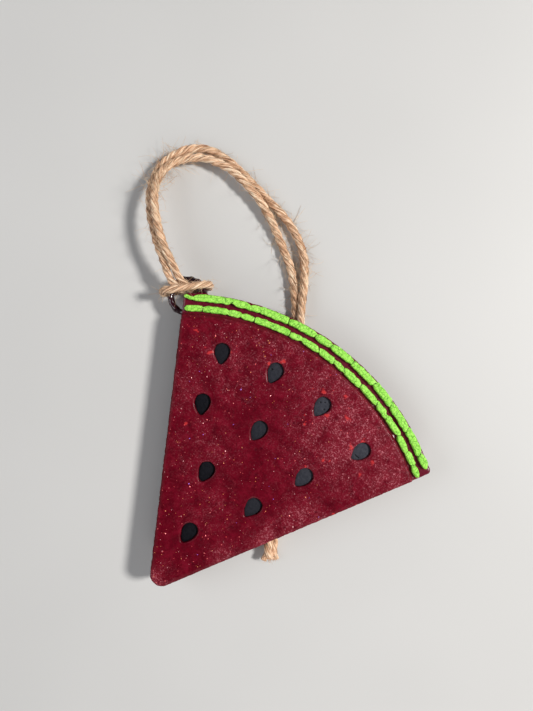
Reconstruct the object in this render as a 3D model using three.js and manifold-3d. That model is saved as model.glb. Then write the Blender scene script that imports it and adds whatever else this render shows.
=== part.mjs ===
// A hanging air freshener in the shape of a slice of watermelon, lying face up on its own twine loop.
//
// Millimetres, +Z up, and z = 0 is the surface that the part lies on. The slice is drawn in its own plan,
// with the sharp point of the wedge at x = y = 0 and +Y along its axis towards the rind. At the end the
// whole plan is moved so that the middle of the slice's box comes to the origin.

import * as THREE from 'three';
import { mergeVertices } from 'three/addons/utils/BufferGeometryUtils.js';
import Module from 'manifold-3d';

const wasm = await Module();
wasm.setup();

const degrees = THREE.MathUtils.degToRad;

// The slice
const halfAngle = degrees(30.1);
const rimRadius = 79.8;
const rimCentre = new THREE.Vector2(1.5, 13.1);
const sliceThickness = 6.5;
const tipRadius = 3.6;
const cornerRadius = 1.3;
const edgeRound = 0.5;

// The twine that the slice lies on
const twineDiameter = 2.3;
const twineSides = 8;
const backHeight = 4.5;
const faceHeight = backHeight + sliceThickness;

// The rind: two rows of fused beads on a ledge below the face
const ledgeDepth = 1.0;
const rowHeight = 1.25;
const rowRound = 0.35;
const rimMargin = 0.3;
const outerRowWidth = 2.1;
const stripWidth = 1.2;
const innerRowWidth = 1.95;
const grooveWidth = 0.8;
const ledgeHeight = faceHeight - ledgeDepth;
const ledgeWidth = rimMargin + outerRowWidth + stripWidth + innerRowWidth + grooveWidth;
const beadLengths = [2.8, 4.9, 3.3, 5.4, 2.5, 4.1];

// The seeds, each set into its own pocket: how far out from the point of the wedge, at what angle off its
// middle line, and how far the seed leans from standing along that line
const seedWidth = 4.1;
const seedLength = 6;
const seedThickness = 0.9;
const seedDepth = 1.0;
const pocketGap = 0.3;
const seedSpots = [
  { out: 74.4, at: -19.7, lean: -30 },
  { out: 75.4, at: -7, lean: -10 },
  { out: 75.6, at: 6, lean: 1 },
  { out: 75.7, at: 19.4, lean: 15 },
  { out: 58.4, at: -20.8, lean: -27 },
  { out: 58.3, at: -2.7, lean: -3 },
  { out: 57.5, at: 16.4, lean: 8 },
  { out: 40, at: -11.4, lean: -8 },
  { out: 40.1, at: 13.7, lean: 4 },
  { out: 21.7, at: -3, lean: -2 },
];

// The hanging eyelet, cast in one with the slice at its left corner. Its centre is eyeletInset from where
// the left side and the rim would meet, and the web fills the corner between its ring and the rim.
const eyeletOuter = 6.1;
const eyeletInner = 4.3;
const eyeletHeight = 4.7;
const eyeletThickness = 2.4;
const eyeletRound = 0.45;
const eyeletInset = new THREE.Vector2(1, -0.2);
const webRadius = 1.7;
const webOffset = new THREE.Vector2(3.6, 0.4);

// The twine's routes, in the loop's own plan: its origin is the eyelet's centre, and it is turned from
// the slice's plan by loopTurn.
const loopTurn = degrees(37);
const hitchRoute = [
  [-5.2, 5.55, 8.8], [-4.35, 4.2, 8.6], [-3.4, 3.1, 8.3], [-2.4, 2.35, 7.4], [-2.1, 2.2, 5.8],
  [-2.1, 2.2, 4.2], [-2.8, 2.3, 2.4], [-4.5, 2.1, 1.25], [-6.4, 1.7, 1.9], [-7.3, 1.4, 3.8],
  [-7.5, 1.2, 6], [-7.2, 1.3, 8.2], [-6.5, 1.4, 9.8], [-5, 1.6, 10.5], [-3, 1.9, 10.6],
  [-0.8, 2.3, 10.2], [1.6, 2.7, 9.8], [3.9, 3.1, 9.4], [5.6, 3.4, 8.4], [6.5, 3.5, 6.6],
  [6.5, 3.4, 4.6], [5.8, 3.1, 2.6], [4.4, 2.8, 1.35], [2.8, 2.5, 1.25], [1.5, 2.45, 2],
  [0.75, 2.5, 3.4], [0.45, 2.6, 5.1], [-0.1, 3.05, 6.8], [-1, 3.75, 7.95], [-1.8, 4.65, 8.5],
  [-2.6, 5.65, 8.8],
];
const outerRoute = [
  [-5.4, 5.9, 8.8], [-6.6, 9.7, 9.1], [-8.3, 14.4, 9.3], [-9.7, 19.3, 9.2], [-10.9, 24.5, 8.5],
  [-11.4, 30, 7.2], [-10.9, 35.4, 5.5], [-8.6, 40.6, 3.8], [-4.4, 44.6, 2.5], [0.6, 46.6, 1.8],
  [5.4, 46.4, 1.3], [10.3, 44.2, 1.2], [15, 40.4, 1.2], [19.4, 35.9, 1.2], [23.8, 31.3, 1.2],
  [27.9, 27.1, 1.2], [31.3, 22.8, 1.3], [34, 17.8, 1.6], [35.5, 12.4, 2], [35.7, 6.9, 2.5],
  [35.3, 1.7, 2.9], [34.8, -2.6, 3.15], [34.5, -7, 3.15], [34.7, -13, 2.6], [35, -20, 1.6],
  [34.7, -28, 1.2], [33.9, -38, 1.2], [32.4, -48, 1.2], [30.2, -58, 1.2], [27.9, -67, 1.2],
  [26.4, -74, 1.2], [25.9, -80.5, 1.2],
];
const innerRoute = [
  [-2.7, 6, 8.8], [-4.4, 9.9, 10.1], [-6.4, 14.5, 11], [-8, 19.4, 11.1], [-9.2, 24.8, 10.4],
  [-9.7, 30.1, 9.1], [-9.1, 35.2, 7.4], [-7, 39.3, 5.5], [-3.5, 42, 4], [0.5, 43.4, 2.9],
  [4.8, 43.2, 3], [8.9, 41.7, 3.4], [13.1, 39.4, 3.4], [17.4, 35.3, 3.4], [21.4, 30.6, 3],
  [24.7, 25.3, 2.2], [27.4, 19.6, 1.5], [29.7, 13.9, 1.2], [31.6, 8.5, 1.2], [32.5, 3.2, 1.2],
  [32.9, -2, 1.2], [32.8, -7, 1.2], [32.4, -13, 1.2], [32.1, -20, 1.2], [31.8, -29, 1.2],
  [31, -39, 1.2], [29.6, -49, 1.3], [27.6, -58.5, 1.8], [25.6, -67, 2.7], [24.6, -74, 3.1],
  [24.2, -80, 3.1],
];
const hitchSteps = 60;
const strandSteps = 64;

// The middle of the slice's box, with its eyelet and its hitch, in the slice's plan
const boxMiddle = new THREE.Vector2(-3.24, 48.24);

const materials = {
  cast: new THREE.MeshStandardMaterial({ color: 0x7a1026, roughness: 0.45, metalness: 0 }),
  rind: new THREE.MeshStandardMaterial({ color: 0x8fe04c, roughness: 0.7, metalness: 0 }),
  seed: new THREE.MeshStandardMaterial({ color: 0x22262b, roughness: 0.65, metalness: 0 }),
  twine: new THREE.MeshStandardMaterial({ color: 0xc49a6c, roughness: 0.95, metalness: 0 }),
};

function arc(centre, radius, from, to, steps) {
  const points = [];
  for (let i = 0; i <= steps; i++) {
    const angle = from + ((to - from) * i) / steps;
    points.push(new THREE.Vector2(centre.x + radius * Math.cos(angle), centre.y + radius * Math.sin(angle)));
  }
  return points;
}

// The point where a straight side of the wedge, side -1 on the left and 1 on the right, meets the rim.
function rimCorner(side) {
  const along = new THREE.Vector2(side * Math.sin(halfAngle), Math.cos(halfAngle));
  const reach = along.dot(rimCentre);
  const distance = reach + Math.sqrt(reach ** 2 - rimCentre.lengthSq() + rimRadius ** 2);
  return along.multiplyScalar(distance);
}

// A rounded corner between the rim and a straight side, from the point before it to the point after it.
function roundedCorner(before, corner, after) {
  return new THREE.QuadraticBezierCurve(before, corner, after).getPoints(4);
}

function sliceOutline() {
  const right = rimCorner(1);
  const left = rimCorner(-1);
  const tipCentre = new THREE.Vector2(0, tipRadius / Math.sin(halfAngle));
  const rimTurn = cornerRadius / rimRadius;
  const rightAngle = right.clone().sub(rimCentre).angle();
  const leftAngle = left.clone().sub(rimCentre).angle();
  const rim = arc(rimCentre, rimRadius, rightAngle + rimTurn, leftAngle - rimTurn, 48);
  const backFrom = (corner) => corner.clone().setLength(corner.length() - cornerRadius);
  return [
    ...arc(tipCentre, tipRadius, Math.PI + halfAngle, 2 * Math.PI - halfAngle, 10),
    ...roundedCorner(backFrom(right), right, rim[0]).slice(0, -1),
    ...rim,
    ...roundedCorner(rim[rim.length - 1], left, backFrom(left)).slice(1),
  ];
}

// An upright plate of the outline given, from low to high, with rounded edges where round is more than 0.
function plate(shape, low, high, round = 0, segments = 2) {
  const geometry = new THREE.ExtrudeGeometry(shape, {
    depth: high - low - 2 * round,
    steps: 1,
    curveSegments: 20,
    bevelEnabled: round > 0,
    bevelThickness: round,
    bevelSize: round,
    bevelOffset: -round,
    bevelSegments: segments,
  });
  return geometry.translate(0, 0, low + round);
}

function toSolid(geometry) {
  const bare = geometry.clone();
  bare.deleteAttribute('normal');
  bare.deleteAttribute('uv');
  const merged = mergeVertices(bare, 1e-5);
  return new wasm.Manifold(new wasm.Mesh({
    numProp: 3,
    vertProperties: new Float32Array(merged.attributes.position.array),
    triVerts: new Uint32Array(merged.index.array),
  }));
}

// The solid's surface as a geometry, with corners closer than a hundredth of a millimetre made one.
function toGeometry(solid) {
  const mesh = solid.getMesh();
  const geometry = new THREE.BufferGeometry();
  geometry.setAttribute('position', new THREE.BufferAttribute(new Float32Array(mesh.vertProperties), 3));
  geometry.setIndex(new THREE.BufferAttribute(new Uint32Array(mesh.triVerts), 1));
  const welded = mergeVertices(geometry, 0.01);
  const corners = [];
  for (let i = 0; i < welded.index.count; i += 3) {
    const [a, b, c] = [welded.index.getX(i), welded.index.getX(i + 1), welded.index.getX(i + 2)];
    if (a !== b && b !== c && c !== a) {
      corners.push(a, b, c);
    }
  }
  welded.setIndex(corners);
  welded.computeVertexNormals();
  return welded;
}

// A teardrop, blunt end towards +Y, whose widest place lies above its middle.
function teardrop(width, length) {
  const steps = 20;
  const taper = 0.8;
  const widest = 0.804;
  const points = [];
  for (let i = 0; i < steps; i++) {
    const turn = (2 * Math.PI * i) / steps;
    const side = Math.sin(turn) * Math.abs(Math.sin(turn / 2)) ** taper / widest;
    points.push(new THREE.Vector2((width / 2) * side, (-length / 2) * Math.cos(turn)));
  }
  return new THREE.Shape(points);
}

function seedPlaces() {
  return seedSpots.map(({ out, at, lean }) => ({
    x: out * Math.sin(degrees(at)),
    y: out * Math.cos(degrees(at)),
    turn: -degrees(lean),
  }));
}

function pocketCutter({ x, y, turn }) {
  const outline = teardrop(seedWidth + 2 * pocketGap, seedLength + 2 * pocketGap);
  const cutter = plate(outline, faceHeight - seedDepth - seedThickness, faceHeight + 1);
  return cutter.rotateZ(turn).translate(x, y, 0);
}

// Everything outside the flesh's curved edge, above the ledge.
function ledgeCutter() {
  const fleshRadius = rimRadius - ledgeWidth;
  const reach = rimRadius + 20;
  const { x, y } = rimCentre;
  const frame = [[reach, 0], [reach, reach], [-reach, reach], [-reach, 0]];
  const shape = new THREE.Shape([
    ...frame.map(([across, along]) => new THREE.Vector2(x + across, y + along)),
    ...arc(rimCentre, fleshRadius, Math.PI, 0, 90),
  ]);
  return plate(shape, ledgeHeight, faceHeight + 1);
}

function eyeletCentre() {
  return rimCorner(-1).add(eyeletInset);
}

function eyeletRing() {
  const centre = new THREE.Vector2();
  const shape = new THREE.Shape(arc(centre, eyeletOuter, 0, 2 * Math.PI, 40).slice(0, -1));
  shape.holes.push(new THREE.Path(arc(centre, eyeletInner, 0, -2 * Math.PI, 40).slice(0, -1)));
  return plate(shape, eyeletHeight, eyeletHeight + eyeletThickness, eyeletRound, 1);
}

// The lump of casting that fills the corner between the eyelet and the rim.
function eyeletWeb() {
  const centre = webOffset.clone().rotateAround(new THREE.Vector2(), loopTurn);
  const shape = new THREE.Shape(arc(centre, webRadius, 0, 2 * Math.PI, 16).slice(0, -1));
  return plate(shape, eyeletHeight, eyeletHeight + eyeletThickness, eyeletRound, 1);
}

function sliceBody() {
  const { x, y } = eyeletCentre();
  let body = toSolid(plate(new THREE.Shape(sliceOutline()), backHeight, faceHeight, edgeRound, 1));
  body = body.subtract(toSolid(ledgeCutter()));
  for (const place of seedPlaces()) {
    body = body.subtract(toSolid(pocketCutter(place)));
  }
  body = body.add(toSolid(eyeletRing().translate(x, y, 0)));
  body = body.add(toSolid(eyeletWeb().translate(x, y, 0)));
  return toGeometry(body);
}

// The angle about the rim's centre at which a straight side crosses the circle of the radius given.
function sideAngle(side, radius) {
  const along = new THREE.Vector2(side * Math.sin(halfAngle), Math.cos(halfAngle));
  const reach = along.dot(rimCentre);
  const distance = reach + Math.sqrt(reach ** 2 - rimCentre.lengthSq() + radius ** 2);
  return along.multiplyScalar(distance).sub(rimCentre).angle();
}

// A row of fused beads along the rim: each bead bulges a little, and the joint after it is pinched.
function beadRow(radius, width, rightMargin, leftMargin) {
  const from = sideAngle(1, radius) + rightMargin / radius;
  const to = sideAngle(-1, radius) - leftMargin / radius;
  const pinch = 0.26;
  const joints = [from];
  for (let i = 0; joints[joints.length - 1] < to; i++) {
    joints.push(Math.min(to, joints[joints.length - 1] + beadLengths[i % beadLengths.length] / radius));
  }
  const stations = [];
  for (let i = 1; i < joints.length; i++) {
    for (const along of [0, 0.16, 0.5, 0.84]) {
      const half = (width / 2) * (1 - pinch * Math.abs(2 * along - 1) ** 6);
      stations.push({ angle: joints[i - 1] + (joints[i] - joints[i - 1]) * along, half });
    }
  }
  stations.push({ angle: to, half: (width / 2) * (1 - pinch) });
  const side = (sign) => stations.map(({ angle, half }) => new THREE.Vector2(
    rimCentre.x + (radius + sign * half) * Math.cos(angle),
    rimCentre.y + (radius + sign * half) * Math.sin(angle),
  ));
  const shape = new THREE.Shape([...side(1), ...side(-1).reverse()]);
  return plate(shape, ledgeHeight, ledgeHeight + rowHeight, rowRound, 1);
}

function twine(route, steps) {
  const path = new THREE.CatmullRomCurve3(route.map((point) => new THREE.Vector3(...point)));
  const circle = arc(new THREE.Vector2(), twineDiameter / 2, 0, 2 * Math.PI, twineSides);
  const section = new THREE.Shape(circle.slice(0, -1));
  return new THREE.ExtrudeGeometry(section, { steps, extrudePath: path, bevelEnabled: false });
}

const part = new THREE.Group();

function addMesh(name, geometry, material, parent = part) {
  const mesh = new THREE.Mesh(geometry, material);
  mesh.name = name;
  parent.add(mesh);
  return mesh;
}

addMesh('slice_body', sliceBody(), materials.cast);

const outerRowRadius = rimRadius - rimMargin - outerRowWidth / 2;
const innerRowRadius = outerRowRadius - outerRowWidth / 2 - stripWidth - innerRowWidth / 2;
addMesh('rind_row_outer', beadRow(outerRowRadius, outerRowWidth, 2, 0.5), materials.rind);
addMesh('rind_row_inner', beadRow(innerRowRadius, innerRowWidth, 0.9, 0.8), materials.rind);

seedPlaces().forEach(({ x, y, turn }, index) => {
  const low = faceHeight - seedDepth - seedThickness;
  const seed = addMesh(`seed_${String(index + 1).padStart(2, '0')}`,
    plate(teardrop(seedWidth, seedLength), 0, seedThickness), materials.seed);
  seed.position.set(x, y, low);
  seed.rotation.z = turn;
});

const loop = new THREE.Group();
const loopPlace = eyeletCentre();
loop.position.set(loopPlace.x, loopPlace.y, 0);
loop.rotation.z = loopTurn;
part.add(loop);
addMesh('twine_hitch', twine(hitchRoute, hitchSteps), materials.twine, loop);
addMesh('twine_strand_outer', twine(outerRoute, strandSteps), materials.twine, loop);
addMesh('twine_strand_inner', twine(innerRoute, strandSteps), materials.twine, loop);

part.position.set(-boxMiddle.x, -boxMiddle.y, 0);

export default part;
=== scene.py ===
import math
import random

import bmesh
import bpy
import numpy as np
from mathutils import Matrix, Vector, noise


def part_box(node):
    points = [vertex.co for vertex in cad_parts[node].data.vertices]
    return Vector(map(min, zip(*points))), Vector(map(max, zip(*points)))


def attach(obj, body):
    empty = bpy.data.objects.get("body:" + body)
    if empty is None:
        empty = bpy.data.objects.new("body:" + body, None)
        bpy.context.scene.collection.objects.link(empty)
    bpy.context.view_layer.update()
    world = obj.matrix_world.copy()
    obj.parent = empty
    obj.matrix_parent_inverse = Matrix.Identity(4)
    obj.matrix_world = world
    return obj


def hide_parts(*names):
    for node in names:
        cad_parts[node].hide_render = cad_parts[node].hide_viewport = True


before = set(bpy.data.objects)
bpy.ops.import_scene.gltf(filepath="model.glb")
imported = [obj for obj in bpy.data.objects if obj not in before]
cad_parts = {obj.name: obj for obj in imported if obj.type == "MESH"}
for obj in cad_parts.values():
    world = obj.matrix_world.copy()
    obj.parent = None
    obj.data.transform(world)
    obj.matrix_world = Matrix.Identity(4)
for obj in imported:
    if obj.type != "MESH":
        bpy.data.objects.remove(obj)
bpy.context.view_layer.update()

MM = 0.001

# The slice, as the CAD source draws it
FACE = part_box("slice_body")[1][2]
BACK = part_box("slice_body")[0][2]
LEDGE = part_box("rind_row_outer")[0][2]
HALF_ANGLE = math.radians(30.1)
WEDGE_POINT = Vector((3.24, -48.24)) * MM
RIM_RADIUS = 79.8 * MM
RIM_CENTRE = WEDGE_POINT + Vector((1.5, 13.1)) * MM
ROW_HEIGHT = 1.25 * MM
FLESH_RADIUS = 73.45 * MM

# The eyelet and the twine
EYELET_OUTER = 6.1 * MM
EYELET_INNER = 4.3 * MM
EYELET_MIDDLE = 5.9 * MM
TWINE = 2.3 * MM
LOOP_TURN = math.radians(37)
HITCH_ROUTE = [
    (-5.2, 5.55, 8.8), (-4.35, 4.2, 8.6), (-3.4, 3.1, 8.3), (-2.4, 2.35, 7.4), (-2.1, 2.2, 5.8),
    (-2.1, 2.2, 4.2), (-2.8, 2.3, 2.4), (-4.5, 2.1, 1.25), (-6.4, 1.7, 1.9), (-7.3, 1.4, 3.8),
    (-7.5, 1.2, 6), (-7.2, 1.3, 8.2), (-6.5, 1.4, 9.8), (-5, 1.6, 10.5), (-3, 1.9, 10.6),
    (-0.8, 2.3, 10.2), (1.6, 2.7, 9.8), (3.9, 3.1, 9.4), (5.6, 3.4, 8.4), (6.5, 3.5, 6.6),
    (6.5, 3.4, 4.6), (5.8, 3.1, 2.6), (4.4, 2.8, 1.35), (2.8, 2.5, 1.25), (1.5, 2.45, 2),
    (0.75, 2.5, 3.4), (0.45, 2.6, 5.1), (-0.1, 3.05, 6.8), (-1, 3.75, 7.95), (-1.8, 4.65, 8.5),
    (-2.6, 5.65, 8.8),
]
OUTER_ROUTE = [
    (-5.4, 5.9, 8.8), (-6.6, 9.7, 9.1), (-8.3, 14.4, 9.3), (-9.7, 19.3, 9.2), (-10.9, 24.5, 8.5),
    (-11.4, 30, 7.2), (-10.9, 35.4, 5.5), (-8.6, 40.6, 3.8), (-4.4, 44.6, 2.5), (0.6, 46.6, 1.8),
    (5.4, 46.4, 1.3), (10.3, 44.2, 1.2), (15, 40.4, 1.2), (19.4, 35.9, 1.2), (23.8, 31.3, 1.2),
    (27.9, 27.1, 1.2), (31.3, 22.8, 1.3), (34, 17.8, 1.6), (35.5, 12.4, 2), (35.7, 6.9, 2.5),
    (35.3, 1.7, 2.9), (34.8, -2.6, 3.15), (34.5, -7, 3.15), (34.7, -13, 2.6), (35, -20, 1.6),
    (34.7, -28, 1.2), (33.9, -38, 1.2), (32.4, -48, 1.2), (30.2, -58, 1.2), (27.9, -67, 1.2),
    (26.4, -74, 1.2), (25.9, -80.5, 1.2),
]
INNER_ROUTE = [
    (-2.7, 6, 8.8), (-4.4, 9.9, 10.1), (-6.4, 14.5, 11), (-8, 19.4, 11.1), (-9.2, 24.8, 10.4),
    (-9.7, 30.1, 9.1), (-9.1, 35.2, 7.4), (-7, 39.3, 5.5), (-3.5, 42, 4), (0.5, 43.4, 2.9),
    (4.8, 43.2, 3), (8.9, 41.7, 3.4), (13.1, 39.4, 3.4), (17.4, 35.3, 3.4), (21.4, 30.6, 3),
    (24.7, 25.3, 2.2), (27.4, 19.6, 1.5), (29.7, 13.9, 1.2), (31.6, 8.5, 1.2), (32.5, 3.2, 1.2),
    (32.9, -2, 1.2), (32.8, -7, 1.2), (32.4, -13, 1.2), (32.1, -20, 1.2), (31.8, -29, 1.2),
    (31, -39, 1.2), (29.6, -49, 1.3), (27.6, -58.5, 1.8), (25.6, -67, 2.7), (24.6, -74, 3.1),
    (24.2, -80, 3.1),
]

# How jute is laid: three plies that turn left round each other, and fibres that turn round each ply
PLIES = 3
LAY = 9.6 * MM
PLY_RADIUS = 0.67 * MM
PLY_OFFSET = 0.49 * MM
PLY_SIDES = 24
TWINE_STEP = 0.34 * MM
FIBRE_LAY = 3 * LAY
OFF_FLOOR = 0.12 * MM


def side_crossing(side, radius):
    """Where a straight side, -1 on the left and 1 on the right, crosses a circle about the rim's centre."""
    along = Vector((side * math.sin(HALF_ANGLE), math.cos(HALF_ANGLE)))
    centre = RIM_CENTRE - WEDGE_POINT
    reach = along.dot(centre)
    return WEDGE_POINT + along * (reach + math.sqrt(reach**2 - centre.length_squared + radius**2))


EYELET = side_crossing(-1, RIM_RADIUS) + Vector((1, -0.2)) * MM


def loop_point(u, v, z):
    """A point of the loop's own plan, in millimetres, in the part's frame."""
    return EYELET.to_3d() + Matrix.Rotation(LOOP_TURN, 3, "Z") @ Vector((u, v, z)) * MM


def make_camera():
    """Looks straight down, turned so that the loop's plan stands upright in the picture."""
    data = bpy.data.cameras.new("camera")
    data.lens = 27.1
    data.clip_start = 5 * MM
    camera = bpy.data.objects.new("camera", data)
    camera.location = (-11.03 * MM, 29.45 * MM, 169 * MM)
    camera.rotation_euler = (0, 0, LOOP_TURN)
    bpy.context.scene.collection.objects.link(camera)
    bpy.context.scene.camera = camera


# ---- mesh making


class Skin:
    """Tubes and flakes gathered for one mesh, with a place along and across the fibres for each point."""

    def __init__(self):
        self.points = []
        self.fibres = []
        self.faces = []
        self.slots = []

    def tube(self, rings, fibres=None, slot=0):
        """A closed tube through rings, an array of steps x sides x 3."""
        steps, sides, _ = rings.shape
        first = len(self.points)
        self.points.extend(rings.reshape(-1, 3))
        self.fibres.extend((rings if fibres is None else fibres).reshape(-1, 3))
        for step in range(steps - 1):
            low = first + step * sides
            high = low + sides
            for side in range(sides):
                after = (side + 1) % sides
                self.faces.append((low + side, low + after, high + after, high + side))
        self.faces.append(tuple(first + side for side in reversed(range(sides))))
        self.faces.append(tuple(first + (steps - 1) * sides + side for side in range(sides)))
        self.slots.extend([slot] * (len(self.faces) - len(self.slots)))

    def mesh(self, name):
        mesh = bpy.data.meshes.new(name)
        mesh.from_pydata(np.array(self.points).tolist(), [], self.faces)
        return mesh

    def piece(self, name, *materials, smooth=True):
        mesh = self.mesh(name)
        for material in materials:
            mesh.materials.append(material)
        mesh.polygons.foreach_set("material_index", self.slots)
        mesh.polygons.foreach_set("use_smooth", [smooth] * len(mesh.polygons))
        store(mesh, "fibre", np.array(self.fibres), "FLOAT_VECTOR")
        return shown(name, mesh)


def shown(name, mesh):
    """The mesh as a piece that goes with the part's one body."""
    piece = bpy.data.objects.new(name, mesh)
    bpy.context.scene.collection.objects.link(piece)
    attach(piece, "root")
    return piece


def store(mesh, name, values, kind="FLOAT"):
    """Keeps a value for each vertex, which the materials read by its name."""
    attribute = mesh.attributes.new(name, kind, "POINT")
    attribute.data.foreach_set("value" if kind == "FLOAT" else "vector", np.asarray(values, float).ravel())


def unit(vectors):
    return vectors / np.linalg.norm(vectors, axis=-1, keepdims=True)


def smooth_path(route, step):
    """Points about a step apart on the Catmull-Rom curve through the route's points."""
    points = np.array(route, float)
    points = np.vstack([2 * points[0] - points[1], points, 2 * points[-1] - points[-2]])
    t = np.linspace(0, 1, 24, endpoint=False)[:, None]
    spans = [
        b + 0.5 * t * (c - a + t * (2 * a - 5 * b + 4 * c - d + t * (3 * (b - c) + d - a)))
        for a, b, c, d in zip(points, points[1:], points[2:], points[3:])
    ]
    curve = np.vstack([*spans, points[-2:-1]])
    along = distances(curve)
    places = np.linspace(0, along[-1], round(along[-1] / step) + 1)
    return np.stack([np.interp(places, along, curve[:, axis]) for axis in range(3)], axis=1)


def distances(path):
    """How far along the path each of its points lies."""
    return np.concatenate([[0], np.cumsum(np.linalg.norm(np.diff(path, axis=0), axis=1))])


def cross_axes(path):
    """Two directions across the path at each of its points, which don't twist about it."""
    tangents = unit(np.gradient(path, axis=0))
    first = np.cross(tangents[0], (0.3, 0.2, 1.0))
    across = []
    for tangent in tangents:
        first = first - tangent * (first @ tangent)
        first = first / np.linalg.norm(first)
        across.append(first)
    across = np.array(across)
    return across, np.cross(tangents, across)


def circle_rings(path, radii, sides, turn=0.0):
    """Rings of the radii given, one for each side of each point, across the path."""
    across, up = cross_axes(path)
    angles = np.arange(sides) * 2 * math.pi / sides + turn
    return path[:, None] + radii[..., None] * (
        np.cos(angles)[:, None] * across[:, None] + np.sin(angles)[:, None] * up[:, None]
    )


# ---- materials


class Look:
    """A node material made a node at a time. Places are in millimetres, so scales are per millimetre."""

    def __init__(self, name, sockets):
        """sockets gives the shader's values that are the same all over."""
        self.material = bpy.data.materials.new(name)
        self.material.use_nodes = True
        self.tree = self.material.node_tree
        self.shader = self.tree.nodes["Principled BSDF"]
        for key, value in sockets.items():
            self.shader.inputs[key].default_value = value
        self.place = self.scaled(self.add("TexCoord").outputs["Object"], (1 / MM, 1 / MM, 1 / MM))

    def add(self, kind, *inputs, **properties):
        """Adds a node, with its properties and its first inputs set or linked."""
        node = self.tree.nodes.new("ShaderNode" + kind)
        for key, value in properties.items():
            setattr(node, key, value)
        for socket, value in zip(node.inputs, inputs):
            self.feed(socket, value)
        return node

    def feed(self, socket, value):
        if isinstance(value, bpy.types.NodeSocket):
            self.tree.links.new(value, socket)
        else:
            socket.default_value = value

    def noise(self, scale, detail=3.0, rough=0.55, place=None, distortion=0.0):
        node = self.add("TexNoise", self.place if place is None else place)
        settings = {"Scale": scale, "Detail": detail, "Roughness": rough, "Distortion": distortion}
        for key, value in settings.items():
            node.inputs[key].default_value = value
        return node.outputs["Fac"]

    def seams(self, scale, width):
        """1 in the joints of a cell pattern and 0 further than width from them, in cells."""
        node = self.add("TexVoronoi", self.place, feature="DISTANCE_TO_EDGE")
        node.inputs["Scale"].default_value = scale
        return self.band(node.outputs["Distance"], 0.0, width, 1, 0)

    def stored(self, name, output="Fac"):
        return self.add("Attribute", attribute_name=name).outputs[output]

    def scaled(self, vector, factors):
        return self.add("VectorMath", vector, factors, operation="MULTIPLY").outputs[0]

    def math(self, operation, first, second):
        return self.add("Math", first, second, operation=operation).outputs[0]

    def band(self, value, low, high, to_low=0.0, to_high=1.0):
        """The value stretched from low..high to to_low..to_high, and held there."""
        return self.add("MapRange", value, low, high, to_low, to_high).outputs[0]

    def ramp(self, value, *stops):
        """Colours by value: each stop is a place from 0 to 1 and a linear colour."""
        node = self.add("ValToRGB", value)
        elements = node.color_ramp.elements
        while len(elements) < len(stops):
            elements.new(0.5)
        for element, (place, colour) in zip(elements, stops):
            element.position = place
            element.color = (*colour, 1)
        return node.outputs["Color"]

    def mix(self, factor, first, second):
        node = self.add("Mix", factor, data_type="RGBA")
        for socket, value in ((node.inputs[6], first), (node.inputs[7], second)):
            self.feed(socket, value if isinstance(value, bpy.types.NodeSocket) else (*value, 1))
        return node.outputs[2]

    def tint(self, colour, shade, value, low, high, most=1.0):
        """The colour turned to the shade, by most at the most, as the value goes from low to high."""
        return self.mix(self.band(value, low, high, 0, most), colour, shade)

    def bump(self, height, depth, strength):
        """Bumps of the depth given, in millimetres."""
        node = self.add("Bump")
        node.inputs["Strength"].default_value = strength
        node.inputs["Distance"].default_value = depth * MM
        self.feed(node.inputs["Height"], height)
        if self.shader.inputs["Normal"].is_linked:
            self.feed(node.inputs["Normal"], self.shader.inputs["Normal"].links[0].from_socket)
        self.feed(self.shader.inputs["Normal"], node.outputs["Normal"])

    def finish(self, colour, roughness=None):
        self.feed(self.shader.inputs["Base Color"], colour)
        if roughness is not None:
            self.feed(self.shader.inputs["Roughness"], roughness)
        return self.material


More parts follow.
